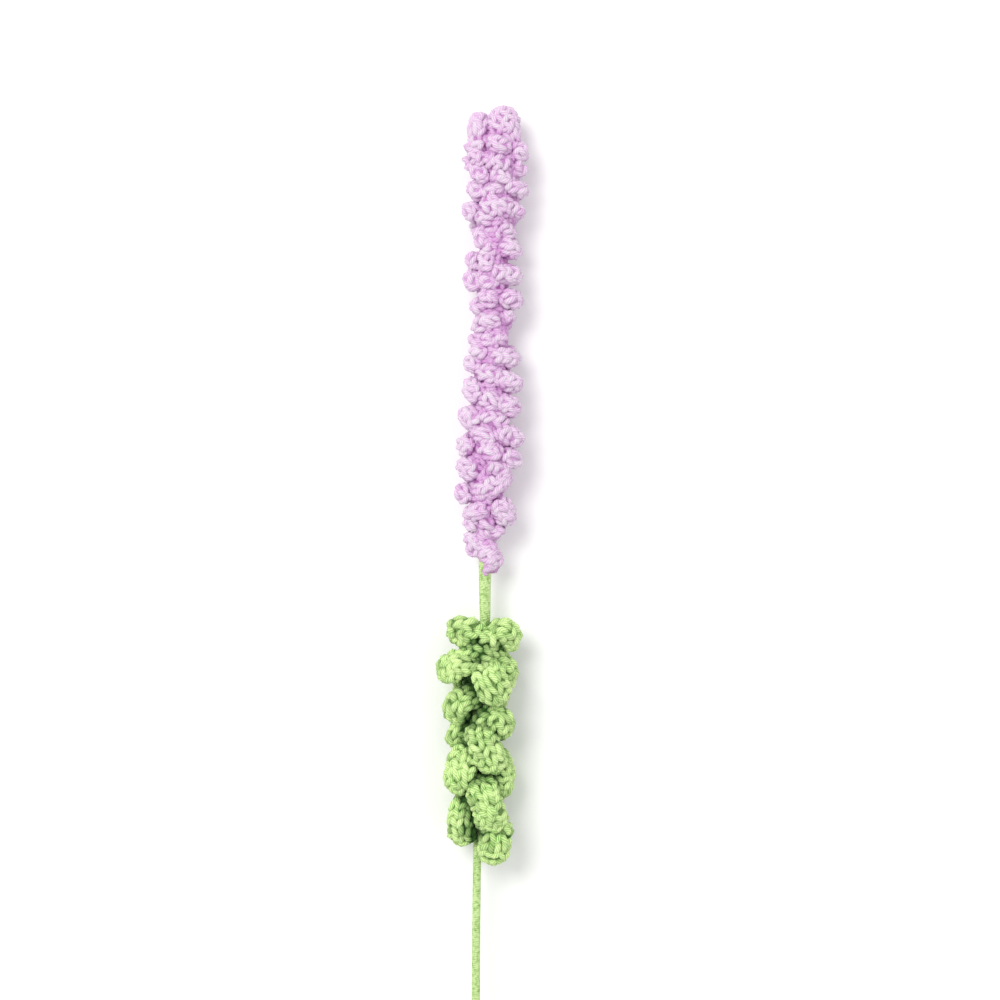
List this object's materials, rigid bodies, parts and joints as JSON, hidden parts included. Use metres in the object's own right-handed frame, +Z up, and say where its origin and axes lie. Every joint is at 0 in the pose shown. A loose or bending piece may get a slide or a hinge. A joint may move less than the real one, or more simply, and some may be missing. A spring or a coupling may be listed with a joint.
{
  "type": "crocheted lavender stem",
  "caption": "Crocheted lavender flower stem: a knobbly spiral of lavender yarn over a green crocheted leaf cluster, on a thread-wrapped wire stem, lying on its side.",
  "frame": {"origin": "on the surface the stem lies on, under the middle of its box", "axes": "+Y along the stem towards the flower's tip, +Z up from the surface it lies on, +X to the right seen from above with the flower away from the viewer"},
  "size_m": [0.0318, 0.3992, 0.0243],
  "materials": {
    "wire": "satin",
    "wrapping_thread": "matte",
    "lavender_yarn": "matte",
    "green_yarn": "matte"
  },
  "bodies": {
    "root": {"stem_wire": "wire", "stem_wrap": "wrapping_thread", "flower_strip": "lavender_yarn", "leaf_strip": "green_yarn"}
  },
  "joints": []
}
